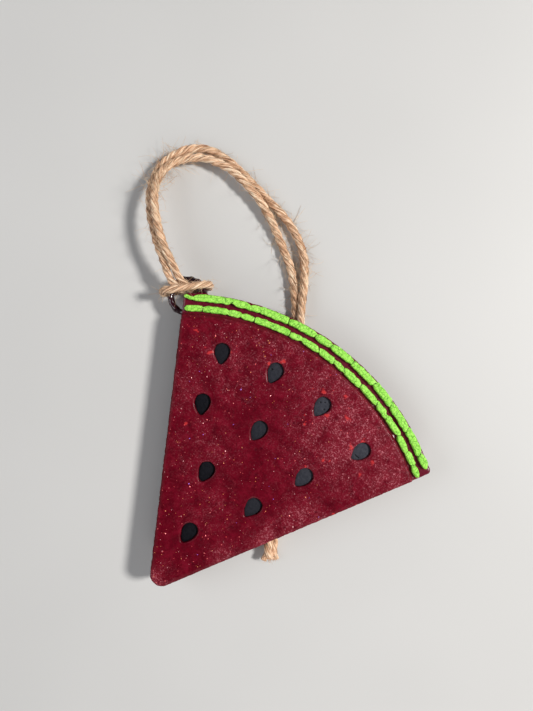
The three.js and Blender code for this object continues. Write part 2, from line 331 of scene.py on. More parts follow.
def flesh_look():
    """Fused crimson beads: deep where clear, with cloudy speckled zones and coral flecks, painted
    highlights along the ridges and edges, and painted shade in the creases.
    """
    look = Look("flesh_cast", {
        "Coat Weight": 0.03, "Coat Roughness": 0.12, "Specular IOR Level": 0.13, "Subsurface Weight": 0.06,
        "Subsurface Radius": (1.4 * MM, 0.3 * MM, 0.25 * MM), "Subsurface Scale": 1.0,
    })
    colour = look.ramp(
        look.noise(0.28, detail=6, rough=0.65, distortion=0.6),
        (0.32, (0.070, 0.0004, 0.0052)),
        (0.50, (0.108, 0.0008, 0.0078)),
        (0.68, (0.155, 0.0030, 0.0140)),
    )
    clouds = look.noise(0.45, detail=7, rough=0.74, distortion=1.2)
    colour = look.tint(colour, (0.26, 0.014, 0.031), clouds, 0.52, 0.76, 0.40)
    depths = look.noise(1.1, detail=4, rough=0.7, distortion=0.8)
    colour = look.tint(colour, (0.060, 0.0004, 0.0040), depths, 0.52, 0.68, 0.65)
    patches = look.band(look.noise(0.26, detail=3), 0.36, 0.58, 0.2, 1)
    zone = look.math("MULTIPLY", look.stored("frost"), patches)
    colour = look.tint(colour, (0.40, 0.036, 0.062), zone, 0, 1, 0.24)
    grain = look.band(look.noise(2.4, detail=4, rough=0.75, distortion=0.4), 0.53, 0.60)
    clumps = look.band(look.noise(0.9, detail=3, rough=0.6, distortion=0.8), 0.40, 0.60, 0.25, 1)
    grain = look.math("MULTIPLY", grain, clumps)
    grain = look.math("MULTIPLY", grain, look.band(zone, 0, 0.9, 0.02, 0.95))
    colour = look.mix(grain, colour, (0.66, 0.215, 0.260))
    colour = look.tint(colour, (0.64, 0.042, 0.042), look.stored("fleck"), 0.15, 0.8, 0.66)
    # Painted highlight: a lighter red along the ridges and edges, broken up by noise, in place of glints
    rim = look.math(
        "MULTIPLY",
        look.band(look.stored("edge"), 0.35, 0.9),
        look.band(look.noise(0.7, detail=3), 0.47, 0.62, 0.06, 0.8),
    )
    colour = look.mix(rim, colour, (0.50, 0.028, 0.060))
    # Painted shade: darker red in the creases, scores and the corners of the pockets
    colour = look.tint(colour, (0.025, 0.0006, 0.004), look.stored("hollow_shade"), 0.1, 0.6, 0.75)
    look.bump(look.noise(0.9, detail=3, rough=0.5), 0.04, 0.6)
    look.bump(look.noise(5, detail=2), 0.008, 0.5)
    worn = look.band(look.stored("edge"), 0.05, 0.40, 0, 0.6)
    return look.finish(colour, look.math("ADD", look.band(zone, 0, 0.8, 0.24, 0.34), worn))


def ledge_look():
    """The smooth dark casting under the rind rows and round the rim, with painted highlights on its edges.
    """
    look = Look("ledge_cast", {"Coat Weight": 0.25, "Coat Roughness": 0.25, "Specular IOR Level": 0.35})
    colour = look.ramp(
        look.noise(0.7, detail=4),
        (0.30, (0.085, 0.0010, 0.0100)),
        (0.70, (0.150, 0.0030, 0.0190)),
    )
    # Painted highlight: a lighter red on the ledge's ridges and edges
    colour = look.tint(colour, (0.20, 0.012, 0.03), look.stored("edge"), 0.4, 1.0, 0.2)
    look.bump(look.noise(1.5, detail=3), 0.04, 0.6)
    return look.finish(colour, look.band(look.noise(2.2), 0.3, 0.7, 0.24, 0.36))


def eyelet_look():
    """Glossy, nearly black beads: dark maroon of their own, darkened further with painted shade where the
    slice shades the ring.
    """
    look = Look("eyelet_cast", {"Roughness": 0.20, "Coat Weight": 0.55, "Coat Roughness": 0.08})
    # Painted shade: the dark maroon beads are made nearly black, as they look in the slice's shade
    colour = look.ramp(
        look.noise(0.6, detail=3),
        (0.35, (0.0060, 0.0006, 0.0022)),
        (0.70, (0.0380, 0.0016, 0.0085)),
    )
    look.bump(look.noise(1.3, detail=2), 0.08, 0.6)
    return look.finish(colour)


def rind_look():
    """Matte lime grains with dark green seams between them, and painted shade that goes dark green in the
    joints between the beads.
    """
    look = Look("rind_lime", {"Specular IOR Level": 0.3})
    colour = look.ramp(
        look.noise(0.6, detail=4),
        (0.30, (0.225, 0.690, 0.045)),
        (0.52, (0.300, 0.780, 0.070)),
        (0.75, (0.390, 0.840, 0.110)),
    )
    colour = look.tint(colour, (0.60, 0.90, 0.24), look.noise(3.4, detail=4, rough=0.7), 0.47, 0.62, 0.6)
    dull = look.noise(2.6, detail=4, rough=0.65, distortion=0.5)
    colour = look.tint(colour, (0.13, 0.48, 0.03), dull, 0.54, 0.68, 0.64)
    seams = look.math("MULTIPLY", look.seams(0.95, 0.12), look.band(look.noise(0.7), 0.38, 0.56, 0.1, 0.85))
    colour = look.mix(seams, colour, (0.08, 0.33, 0.016))
    # Painted shade: dark green in the cracks and pinches between the beads
    colour = look.tint(colour, (0.014, 0.075, 0.008), look.stored("hollow_shade"), 0.16, 0.60, 0.92)
    look.bump(look.noise(3.2, detail=4, rough=0.65), 0.05, 0.7)
    look.bump(look.math("MULTIPLY", seams, -1.0), 0.10, 0.8)
    return look.finish(colour, look.band(look.noise(2), 0.3, 0.7, 0.45, 0.65))


def seed_look():
    """Dull slate with a fine tooth, with painted sheen that is stronger on some seeds than on others."""
    look = Look("seed_slate", {"Specular IOR Level": 0.10})
    dark = look.ramp(
        look.noise(0.8, detail=5, rough=0.65),
        (0.30, (0.0024, 0.0024, 0.0040)),
        (0.70, (0.0060, 0.0062, 0.0098)),
    )
    # Painted sheen: a paler slate for the seeds that lie towards the key light
    painted_sheen = look.ramp(
        look.noise(1.1, detail=5, rough=0.65),
        (0.30, (0.027, 0.0290, 0.0385)),
        (0.70, (0.047, 0.0500, 0.0645)),
    )
    colour = look.mix(look.stored("painted_sheen"), dark, painted_sheen)
    colour = look.tint(colour, (0.050, 0.052, 0.058), look.noise(7, detail=2), 0.6, 0.8, 0.3)
    # Painted shade: near black in the pits and corners of the seed
    colour = look.tint(colour, (0.003, 0.003, 0.004), look.stored("hollow_shade"), 0.1, 0.5, 0.8)
    look.bump(look.noise(3.4, detail=5, rough=0.65), 0.05, 0.8)
    return look.finish(colour, look.band(look.noise(3), 0.3, 0.7, 0.42, 0.6))


def jute_look():
    """Tan fibres: streaks along the ply, with painted shade between the plies."""
    look = Look("jute", {"Roughness": 0.8, "Sheen Weight": 0.15, "Specular IOR Level": 0.25})
    fibre = look.stored("fibre", "Vector")
    strands = look.noise(1.0, detail=3, rough=0.6, place=look.scaled(fibre, (210, 2700, 2700)))
    streaks = look.noise(1.0, detail=4, rough=0.65, place=look.scaled(fibre, (420, 6500, 6500)))
    both = look.math("ADD", look.math("MULTIPLY", strands, 0.65), look.math("MULTIPLY", streaks, 0.35))
    colour = look.ramp(
        look.band(both, 0.33, 0.67),
        (0.20, (0.135, 0.055, 0.026)),
        (0.38, (0.540, 0.300, 0.172)),
        (0.58, (0.850, 0.560, 0.365)),
        (0.78, (0.980, 0.840, 0.640)),
    )
    patches = look.noise(1.0, detail=3, place=look.scaled(fibre, (160, 700, 700)))
    colour = look.tint(colour, (0.56, 0.32, 0.19), patches, 0.42, 0.68, 0.4)
    # Painted shade: dark brown between the plies
    colour = look.tint(colour, (0.095, 0.040, 0.020), look.stored("hollow_shade"), 0.1, 0.7, 0.85)
    look.bump(both, 0.20, 1.0)
    return look.finish(colour)


def hair_look():
    """The pale fibres that stand off the twine."""
    look = Look("jute_hair", {"Roughness": 0.6})
    return look.finish(look.ramp(
        look.noise(0.3, detail=2),
        (0.35, (0.42, 0.24, 0.13)),
        (0.65, (0.88, 0.68, 0.47)),
    ))


def glitter_look(name, colour):
    look = Look(name, {"Roughness": 0.35, "Metallic": 0.3})
    pale = [0.15 + 0.85 * part for part in colour]
    return look.finish(look.tint(colour, pale, look.noise(1.5), 0.3, 0.7))


# ---- the twine


def whole_twine():
    """The middle of the whole twine from the outer strand's cut end to the inner one's, and the steps
    between which it is hitched."""
    routes = (OUTER_ROUTE[::-1], HITCH_ROUTE, INNER_ROUTE)
    points = [loop_point(*point) for route in routes for point in route]
    path = smooth_path(points, TWINE_STEP)
    joints = [
        (loop_point(*route[0]) + loop_point(*end)) / 2
        for route, end in ((OUTER_ROUTE, HITCH_ROUTE[0]), (INNER_ROUTE, HITCH_ROUTE[-1]))
    ]
    start, stop = (int(np.linalg.norm(path - np.array(joint), axis=1).argmin()) for joint in joints)
    return path, start, stop


def girths(path, start, stop):
    """How much fatter than its nominal size the twine is at each step: it is pulled thin in the hitch."""
    along = distances(path)
    outside = np.maximum(along[start] - along, along - along[stop]).clip(0) / (9 * MM)
    slack = 1 - np.exp(-outside)
    wander = np.array([noise.noise((place / (11 * MM), 4.5, 0)) for place in along])
    return 0.99 + slack * (0.13 + 0.12 * wander)


def ply_path(path, girth, index):
    """The middle of one ply, turning left round the twine's path."""
    across, up = cross_axes(path)
    along = distances(path)
    uneven = np.array([noise.noise((place / (7 * MM), 9.5, 0)) for place in along])
    turn = (-2 * math.pi * along / LAY + 2 * math.pi * index / PLIES + 0.5 * uneven)[:, None]
    return path + PLY_OFFSET * girth[:, None] * (np.cos(turn) * across + np.sin(turn) * up)


def ply_rings(path, girth, index):
    """The rings of a ply of spun fibres, and its fibre places: its girth wanders, and it is grooved."""
    middle = ply_path(path, girth, index)
    along = distances(middle)
    angles = np.arange(PLY_SIDES) * 2 * math.pi / PLY_SIDES
    spin = angles[None, :] + 2 * math.pi * along[:, None] / FIBRE_LAY
    fibres = np.stack([
        np.broadcast_to(along[:, None], spin.shape),
        PLY_RADIUS * np.cos(spin) + index * 5 * MM,
        PLY_RADIUS * np.sin(spin),
    ], axis=-1)
    wander = np.array([noise.noise((place / (2.8 * MM), index * 7.3, 0)) for place in along])
    grooves = np.array([
        noise.noise((x / (3.6 * MM), y / (0.42 * MM), z / (0.42 * MM)))
        + 0.6 * noise.noise((x / (1.8 * MM), y / (0.20 * MM), z / (0.20 * MM)))
        for x, y, z in fibres.reshape(-1, 3)
    ]).reshape(spin.shape)
    radii = PLY_RADIUS * girth[:, None] * (1 + 0.15 * wander[:, None]) + 0.15 * MM * grooves
    return circle_rings(middle, radii, PLY_SIDES), fibres


def twine_skin(skin, name, look):
    piece = skin.piece(name, MATERIALS[look])
    return piece


def twine_piece(name, node, path, plies, low, high):
    """The stretch of the twine between two steps, as a piece in place of its CAD node."""
    skin = Skin()
    for rings, fibres in plies:
        skin.tube(rings[low:high + 1], fibres[low:high + 1])
    piece = twine_skin(skin, name, "jute")
    middles = np.tile(np.repeat(path[low:high + 1], PLY_SIDES, axis=0), (PLIES, 1))
    away = np.linalg.norm(np.array(skin.points) - middles, axis=1) / TWINE
    shaded = 0.44  # of the twine's thickness, from its middle
    # Painted shade between the plies: darker the nearer a place lies to the twine's middle
    store(piece.data, "hollow_shade", np.clip((shaded - away) * 5, 0, 1))
    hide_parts(node)
    return piece


def add_hair(skin, start, direction, length, curl, dice, thickness, ceiling=None):
    """One fibre that wanders off from start, staying above the floor and under the ceiling."""
    steps = 7
    points = [Vector(start)]
    heading = Vector(direction).normalized()
    bend = Vector([dice.gauss(0, 1) for _ in range(3)])
    for _ in range(steps):
        wander = Vector([dice.gauss(0, 0.10) for _ in range(3)])
        heading = (heading + bend * curl / steps + wander).normalized()
        point = points[-1] + heading * length / steps
        point.z = max(point.z, OFF_FLOOR)
        if ceiling is not None:
            point.z = min(point.z, ceiling)
        points.append(point)
    path = np.array(points)
    radii = np.linspace(thickness, thickness * 0.45, steps + 1)[:, None] * np.ones((1, 3))
    skin.tube(circle_rings(path, radii, 3))


def add_wisps(skin, middle, girth, count, dice):
    """Single fibres that lie along a ply, from its middle points, a little proud of it."""
    across, up = cross_axes(middle)
    for _ in range(count):
        first = dice.randrange(len(middle) - 12)
        last = min(first + dice.randint(10, 40), len(middle) - 1)
        t = np.linspace(0, 1, last - first + 1)
        spin = dice.uniform(0, 2 * math.pi) - 2 * math.pi * (t * (last - first) * TWINE_STEP) / FIBRE_LAY
        spin = spin + dice.uniform(-0.9, 0.9) * t + 0.12 * np.sin(dice.uniform(5, 12) * t)
        out = np.cos(spin)[:, None] * across[first:last + 1] + np.sin(spin)[:, None] * up[first:last + 1]
        proud = dice.uniform(0.01, 0.08) * MM - 0.16 * MM * np.abs(2 * t - 1) ** 6
        rise = PLY_RADIUS * girth[first:last + 1] + proud
        path = middle[first:last + 1] + rise[:, None] * out
        path[:, 2] = np.maximum(path[:, 2], 0.1 * MM)
        radii = dice.uniform(0.045, 0.085) * MM * np.ones((len(path), 3))
        skin.tube(circle_rings(path, radii, 3))


def add_fuzz(skin, path, count, share, lengths, lift, dice):
    """Fibres, of lengths in millimetres, that stand off the twine between two shares of its length."""
    across, up = cross_axes(path)
    forward = unit(np.gradient(path, axis=0))
    for _ in range(count):
        step = int(dice.uniform(*share) * (len(path) - 1))
        angle = dice.uniform(0, 2 * math.pi)
        out = math.cos(angle) * across[step] + math.sin(angle) * up[step]
        sense = dice.choice((-1, 1))
        direction = forward[step] * sense + out * lift * dice.uniform(0.3, 1.2)
        under = path[step][2] < BACK and in_slice(path[step])
        ceiling = BACK - 0.1 * MM if under else None
        add_hair(
            skin, path[step] + out * TWINE * 0.46, direction, dice.uniform(*lengths) * MM,
            dice.uniform(0.3, 2.2), dice, dice.uniform(0.035, 0.065) * MM, ceiling,
        )


def in_slice(place, margin=0.0):
    """Whether a place is over or under the slice, at least margin inside its outline."""
    flat = Vector(place[:2])
    from_point = flat - WEDGE_POINT
    side = from_point.y * math.sin(HALF_ANGLE) - abs(from_point.x) * math.cos(HALF_ANGLE)
    return side > margin and (flat - RIM_CENTRE).length < RIM_RADIUS - margin


def make_twine():
    path, start, stop = whole_twine()
    girth = girths(path, start, stop)
    path[:, 2] = np.maximum(path[:, 2], girth * TWINE / 2 + OFF_FLOOR)
    plies = [ply_rings(path, girth, index) for index in range(PLIES)]
    last = len(path) - 1
    outer = twine_piece("loop_twine_outer", "twine_strand_outer", path, plies, 0, start)
    twine_piece("hitch_twine", "twine_hitch", path, plies, start, stop)
    inner = twine_piece("loop_twine_inner", "twine_strand_inner", path, plies, stop, last)

    middles = [ply_path(path, girth, index) for index in range(PLIES)]
    outer_fuzz = fuzz("loop_fuzz_outer", path[start::-1], STRAND_FUZZ, 5)
    inner_fuzz = fuzz("loop_fuzz_inner", path[stop:], STRAND_FUZZ, 6)
    fuzz("hitch_fuzz", path[start:stop + 1], HITCH_FUZZ, 9)
    outer_wisps = wisps("loop_wisps_outer", middles, girth, 0, start, 95, 25)
    inner_wisps = wisps("loop_wisps_inner", middles, girth, stop, last, 95, 26)
    wisps("hitch_wisps", middles, girth, start, stop, 26, 27)
    outer_end = frayed_end("frayed_end_outer", path[start::-1], 7)
    inner_end = frayed_end("frayed_end_inner", path[stop:], 8)


def wisps(name, middles, girth, low, high, count, seed):
    """The fibres that lie along the plies between two steps of the twine."""
    dice = random.Random(seed)
    skin = Skin()
    for middle in middles:
        add_wisps(skin, middle[low:high + 1], girth[low:high + 1], count, dice)
    return twine_skin(skin, name, "hair")


# Fibres that stand off: how many, between which shares of the length, how long and how steep
STRAND_FUZZ = [
    (330, (0.0, 0.62), (1.5, 3.4), 0.4), (90, (0.02, 0.60), (3.0, 6.5), 0.9),
    (60, (0.14, 0.24), (4.0, 8.5), 1.3), (50, (0.42, 0.56), (3.5, 8.0), 1.2),
    (200, (0.62, 0.99), (1.2, 3.0), 0.4),
]
HITCH_FUZZ = [(240, (0.0, 1.0), (1.0, 2.6), 0.4), (50, (0.25, 0.65), (2.0, 5.0), 1.0)]


def fuzz(name, path, sorts, seed):
    dice = random.Random(seed)
    skin = Skin()
    for count, share, lengths, lift in sorts:
        add_fuzz(skin, path, count, share, lengths, lift, dice)
    return twine_skin(skin, name, "hair")


def frayed_end(name, path, seed):
    """The cut end, where the plies open into a fan of clumps and loose fibres."""
    dice = random.Random(seed)
    skin = Skin()
    forward = Vector(path[-1] - path[-6]).normalized()
    sideways = forward.cross(Vector((0, 0, 1))).normalized()
    end = Vector(path[-1]) - forward * 2.4 * MM
    for spread in (-1.1, -0.5, 0.05, 0.6, 1.15):
        add_clump(skin, end, forward, sideways, spread, dice)
    for _ in range(70):
        spread = dice.uniform(-1.0, 1.0)
        start = end + sideways * spread * 0.8 * MM + forward * dice.uniform(0, 2.0) * MM
        direction = forward + sideways * spread * 0.35 + Vector((0, 0, dice.uniform(-0.2, 0.15)))
        add_hair(skin, start, direction, dice.uniform(1.8, 3.6) * MM, 0.25, dice, 0.045 * MM)
    return twine_skin(skin, name, "jute")


def add_clump(skin, end, forward, sideways, spread, dice):
    """A bundle of fibres that swells a little and leans out to its side before it is cut off."""
    reach = dice.uniform(3.2, 4.0) * MM
    steps = 12
    t = np.linspace(0, 1, steps)[:, None]
    lean = Vector(sideways) * spread * 0.95 * MM
    droop = Vector((0, 0, -0.25 * MM * dice.uniform(0.2, 1)))
    start = end + sideways * spread * 0.40 * MM
    path = np.array(start) + t * np.array(forward * reach)
    path += t**1.6 * np.array(lean) + t**2 * np.array(droop)
    path[:, 2] = np.maximum(path[:, 2], 0.74 * MM)
    sides = 14
    angles = np.arange(sides) * 2 * math.pi / sides
    ridges = np.array([noise.noise((3 * math.cos(a), 3 * math.sin(a), spread * 9)) for a in angles])
    radii = (0.40 + 0.16 * t) * MM * (1 + 0.35 * ridges[None, :])
    rings = circle_rings(path, radii, sides)
    along = distances(path)
    fibres = np.stack([
        np.broadcast_to(along[:, None] + spread, (steps, sides)),
        np.broadcast_to(0.5 * MM * np.cos(angles), (steps, sides)),
        np.broadcast_to(0.5 * MM * np.sin(angles), (steps, sides)),
    ], axis=-1)
    skin.tube(rings, fibres)


# ---- the casting


def remeshed(mesh, voxel):
    """The mesh made of small even faces, with what overlapped in it fused."""
    holder = bpy.data.objects.new("remeshing", mesh)
    bpy.context.scene.collection.objects.link(holder)
    modifier = holder.modifiers.new("remesh", "REMESH")
    modifier.mode = "VOXEL"
    modifier.voxel_size = voxel
    modifier.use_smooth_shade = True
    depsgraph = bpy.context.evaluated_depsgraph_get()
    result = bpy.data.meshes.new_from_object(holder.evaluated_get(depsgraph))
    bpy.data.objects.remove(holder)
    result.materials.clear()
    return result


def relax(mesh, rounds):
    """Takes the steps that the voxels leave out of the surface."""
    work = bmesh.new()
    work.from_mesh(mesh)
    for _ in range(rounds):
        bmesh.ops.smooth_vert(
            work, verts=work.verts, factor=0.5, use_axis_x=True, use_axis_y=True, use_axis_z=True,
        )
    work.to_mesh(mesh)
    work.free()


def places_and_normals(mesh):
    """Two arrays, of the places of the vertices and of the directions that they face."""
    vertices = mesh.vertices
    return np.array([vertex.co for vertex in vertices]), np.array([vertex.normal for vertex in vertices])


def push(mesh, height):
    """Moves each vertex along its normal by height(place, normal)."""
    places = [vertex.co.copy() for vertex in mesh.vertices]
    normals = [vertex.normal.copy() for vertex in mesh.vertices]
    moved = [place + normal * height(place, normal) for place, normal in zip(places, normals)]
    mesh.vertices.foreach_set("co", np.array(moved).ravel())
    mesh.update()


def mark_relief(mesh, reach):
    """Stores two marks: how far each place lies in a crease and how far on a ridge, about reach wide. The
    materials paint shade into the creases by the first and paint highlights onto the ridges by the second.
    """
    places, normals = places_and_normals(mesh)
    edges = np.array([edge.vertices for edge in mesh.edges])
    degree = np.bincount(edges.ravel(), minlength=len(places))[:, None]
    around = places.copy()
    spacing = np.linalg.norm(places[edges[:, 0]] - places[edges[:, 1]], axis=1).mean()
    for _ in range(max(1, round((reach / spacing) ** 2 / 2))):
        total = np.zeros_like(around)
        np.add.at(total, edges[:, 0], around[edges[:, 1]])
        np.add.at(total, edges[:, 1], around[edges[:, 0]])
        around = total / degree
    contrast = 4
    depth = contrast * np.einsum("ij,ij->i", around - places, normals) / reach
    store(mesh, "hollow_shade", np.clip(depth, 0, 1))
    store(mesh, "edge", np.clip(-depth, 0, 1))


def creases(place, size):
    """0 in the middle of a bead of the size given and 1 in the joint between two beads."""
    joint = 0.22
    nearest, _ = noise.voronoi(place / size)
    return max(0.0, 1 - (nearest[1] - nearest[0]) / joint)


def eyelet_beads(mesh):
    """The beads that bulge out of the eyelet's ring, added to the casting before it is fused."""
    dice = random.Random(31)
    work = bmesh.new()
    work.from_mesh(mesh)
    count = 15
    for index in range(count):
        angle = 2 * math.pi * (index + dice.uniform(-0.2, 0.2)) / count
        reach = (EYELET_OUTER + EYELET_INNER) / 2 + dice.uniform(-0.1, 0.25) * MM
        outwards = Vector((math.cos(angle), math.sin(angle)))
        place = (EYELET + reach * outwards).to_3d() + Vector((0, 0, EYELET_MIDDLE))
        if in_slice(place, -1.5 * MM):
            continue
        size = Vector((dice.uniform(1.1, 1.35), dice.uniform(1.1, 1.5), dice.uniform(1.2, 1.5))) * MM
        shape = Matrix.Translation(place) @ Matrix.Rotation(angle, 4, "Z") @ Matrix.Diagonal((*size, 1))
        bmesh.ops.create_icosphere(work, subdivisions=3, radius=1, matrix=shape)
    work.to_mesh(mesh)
    work.free()


def pits_and_scratches():
    """Small dents and short scores that handling and the beads leave in the face."""
    dice = random.Random(12)
    marks = []
    count = 190
    while len(marks) < count:
        place = Vector((dice.uniform(-42, 50), dice.uniform(-44, 38))) * MM
        if not in_slice(place, 1.2 * MM):
            continue
        long = dice.random() < 0.25
        length = dice.uniform(1.2, 3.2) * MM if long else 0.0
        turn = dice.uniform(0, math.pi)
        along = Vector((math.cos(turn), math.sin(turn))) * length / 2
        width = dice.uniform(0.34, 0.42) * MM if long else dice.uniform(0.4, 0.75) * MM
        depth = dice.uniform(0.04, 0.09) * MM if long else dice.uniform(0.06, 0.16) * MM
        marks.append((place - along, place + along, width, depth))
    return marks


def mark_depths(places, marks):
    """How deep the marks are at each of the places."""
    depths = np.zeros(len(places))
    flat = places[:, :2]
    for start, end, width, depth in marks:
        start, end = np.array(start), np.array(end)
        span = end - start
        share = np.clip((flat - start) @ span / max(span @ span, 1e-12), 0, 1)[:, None]
        away = np.linalg.norm(flat - start - share * span, axis=1)
        depths = np.maximum(depths, depth * np.clip(1 - (away / width) ** 2, 0, 1))
    return depths


# Where the casting is cloudy: most near the rim on the right, on the right side and at the point. Each has
# a middle and a size in millimetres, and a strength.
FROST = [
    ((24, 27), 17, 1.0), ((8, 36), 12, 0.7), ((40, 22), 8, 0.9), ((28, -4), 7, 1.1), ((22, -14), 5, 1.0),
    ((15, -26), 4, 0.7), ((3, -43), 4, 0.9), ((-18, 22), 12, 0.45), ((-8, -4), 9, 0.35),
    ((-24, 8), 7, 0.4), ((-8, 33), 9, 0.55), ((3, -17), 7, 0.3),
]

# The coral flecks in the face: a middle and a size in millimetres
FLECKS = [
    ((19, 29), 0.9), ((9, 31), 0.8), ((14, 26), 0.7), ((27, 26), 0.7), ((25, 23), 0.6), ((33, 23), 0.9),
    ((43, 19), 0.5), ((15, 34), 0.6), ((-6, 31), 0.8), ((-9, 28), 0.6), ((-25, 20), 0.7), ((-32, 23), 0.6),
    ((-20, 24), 0.6), ((10, 20), 0.6), ((37, 10), 0.8), ((33, 4), 0.7), ((18, 10), 0.5), ((-18, -1), 0.5),
    ((21, 15), 0.5), ((32, 18), 0.5),
]


def frost_at(place):
    flat = Vector(place[:2])
    return max(
        strength * math.exp(-(((flat - Vector(centre) * MM).length / (size * MM)) ** 2))
        for centre, size, strength in FROST
    )


def fleck_at(place, spots):
    """How much of a fleck shows at a place, with ragged edges."""
    ragged = 1.1 + 1.1 * noise.noise(place / (0.7 * MM)) + 0.6 * noise.noise(place / (0.3 * MM))
    return max(max(0.0, 1 - ((place - spot).length / size * ragged) ** 2) for spot, size in spots)


def casting_height(place, normal):
    """The casting's relief: cobbled beads on its back and sides, a nearly flat face."""
    near_eyelet = not in_slice(place, -0.6 * MM)
    if near_eyelet:
        return -0.10 * MM * creases(place, 2.1 * MM)
    gentle = 0.05 * MM * noise.noise(place / (2.2 * MM))
    if normal.z > 0.5:
        return gentle - 0.03 * MM * creases(place, 2.4 * MM)
    if normal.z < -0.5:
        return gentle - 0.30 * MM * creases(place, 3.0 * MM)
    return gentle - 0.16 * MM * creases(place, 2.6 * MM)


def casting_slot(place, normal):
    """Which of the casting's materials a face has: 0 flesh, 1 ledge and rim, 2 eyelet."""
    if place.z < EYELET_MIDDLE + 3 * MM and not in_slice(place, -0.5 * MM):
        return 2
    radius = (Vector(place[:2]) - RIM_CENTRE).length
    on_ledge = radius > FLESH_RADIUS - 0.05 * MM and place.z < FACE - 0.35 * MM
    return 1 if on_ledge and (normal.z > 0.3 or radius > RIM_RADIUS - 0.8 * MM) else 0


def calm_pockets(mesh):
    """Keeps the painted ridge highlight off the rims of the seeds' pockets."""
    edge = mesh.attributes["edge"].data
    for vertex in mesh.vertices:
        if edge[vertex.index].value > 0 and near_seed(vertex.co):
            edge[vertex.index].value *= 0.3


def make_casting():
    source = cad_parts["slice_body"].data.copy()
    eyelet_beads(source)
    mesh = remeshed(source, 0.35 * MM)
    relax(mesh, 4)
    places, normals = places_and_normals(mesh)
    on_face = (normals[:, 2] > 0.8) & (places[:, 2] > FACE - 0.3 * MM)
    depths = np.where(on_face, mark_depths(places, pits_and_scratches()), 0)
    push(mesh, casting_height)
    moved, _ = places_and_normals(mesh)
    moved[:, 2] -= depths
    mesh.vertices.foreach_set("co", moved.ravel())
    mesh.update()
    mark_relief(mesh, 0.8 * MM)
    calm_pockets(mesh)
    store(mesh, "frost", [frost_at(vertex.co) for vertex in mesh.vertices])
    spots = [(Vector((x * MM, y * MM, FACE)), size * MM) for (x, y), size in FLECKS]
    store(mesh, "fleck", [fleck_at(vertex.co, spots) for vertex in mesh.vertices])
    for name in ("flesh", "ledge", "eyelet"):
        mesh.materials.append(MATERIALS[name])
    slots = [casting_slot(polygon.center, polygon.normal) for polygon in mesh.polygons]
    mesh.polygons.foreach_set("material_index", slots)
    piece = shown("slice_casting", mesh)
    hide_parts("slice_body")


# ---- the rind

# The margins are at a row's left and right ends. The first beads, from the left, have a length, a share of
# the width and an offset each, and the others take one of the lengths, in millimetres. The joints in
# cracks, by number, are open: on the outside at 1, on the inside at -1 and right across at 0.
OUTER_ROW = {
    "radius": 78.45 * MM, "width": 2.1 * MM, "margins": (0.3 * MM, 2.0 * MM), "seed": 41,
    "first": [
        (1.7, 0.72, 0.28), (1.6, 0.52, -0.22), (11.5, 0.98, 0.03), (5.6, 1.0, 0.05), (3.2, 0.95, -0.05),
        (8.9, 1.02, 0.0), (9.0, 1.0, 0.05), (5.5, 1.0, -0.05),
    ],
    "lengths": (5.7, 7.2, 8.4),
    "cracks": {2: -1, 5: 0, 6: -1, 9: 1},
}
INNER_ROW = {
    "radius": 75.225 * MM, "width": 1.95 * MM, "margins": (0.8 * MM, 0.7 * MM), "seed": 43,
    "first": [
        (5.8, 0.96, 0.0), (7.6, 1.0, 0.05), (3.9, 1.0, 0.1), (4.2, 0.92, 0.0), (11.3, 1.0, 0.03),
        (4.0, 0.95, 0.0), (5.8, 0.97, 0.03),
    ],
    "lengths": (4.2, 5.4, 6.6),
    "cracks": {0: -1, 3: 0, 4: 0, 6: 1, 10: -1, 14: 1},
}


def side_angle(side, radius):
    """The angle about the rim's centre at which a straight side crosses the circle of the radius given."""
    crossing = side_crossing(side, radius) - RIM_CENTRE
    return math.atan2(crossing.y, crossing.x)


def add_bead(skin, radius, start, end, width, offset, height, lean, tip):
    """A long flat-topped bead bent along the rim from one angle down to another. Its ends are rounded over
    the length tip, and they lean by that much for each step outwards."""
    steps = 26
    sides = 32
    s = np.sin(np.linspace(-1, 1, steps) * math.pi / 2)
    from_end = (1 - np.abs(s)) * (start - end) * radius / 2
    taper = np.sqrt(1 - (1 - np.minimum(from_end / tip, 1)) ** 2)
    taper[[0, -1]] = 0.12
    angles = start + (end - start) * (s + 1) / 2
    around = np.arange(sides) * 2 * math.pi / sides
    squared = 0.5
    across = np.sign(np.cos(around)) * np.abs(np.cos(around)) ** squared
    up = np.sign(np.sin(around)) * np.abs(np.sin(around)) ** squared
    aside = taper[:, None] * width / 2 * across
    turned = angles[:, None] + lean * aside / radius
    sunk = 0.2 * MM
    rise = LEDGE - sunk + (height + sunk) * (0.5 + (0.40 + 0.10 * taper[:, None]) * up)
    skin.tube(np.stack([
        RIM_CENTRE.x + (radius + offset + aside) * np.cos(turned),
        RIM_CENTRE.y + (radius + offset + aside) * np.sin(turned),
        rise,
    ], axis=-1))


def bead_row(name, node, row):
    """A row of beads from the left end to the right one. Those after the first ones are pinched apart."""
    dice = random.Random(row["seed"])
    skin = Skin()
    radius, cracks = row["radius"], row["cracks"]
    left_margin, right_margin = row["margins"]
    place = side_angle(-1, radius) - left_margin / radius
    right = side_angle(1, radius) + right_margin / radius
    first = list(row["first"])
    joints = []
    while place > right + 0.6 * MM / radius:
        length, share, offset = first.pop(0) if first else (
            dice.choice(row["lengths"]) * dice.uniform(0.9, 1.1),
            dice.uniform(0.92, 1.08),
            dice.uniform(-0.13, 0.13),
        )
        stop = place - length * MM / radius
        if stop - right < 1.6 * MM / radius:
            stop = right
        overlap = (0.75 if first else 0.6) * MM / radius
        height = ROW_HEIGHT * dice.uniform(0.92, 1.0)
        start = place + (overlap if joints else 0)
        lean = dice.gauss(0, 0.6)
        tip = dice.uniform(1.0, 2.5) * MM
        add_bead(skin, radius, start, stop, row["width"] * share, offset * MM, height, lean, tip)
        pinch = (0.06 if first else 0.20) * MM
        joints.append((stop + overlap / 2, lean, cracks.get(len(joints)), pinch))
        place = stop
    finish_row(skin, name, node, radius, joints[:-1])


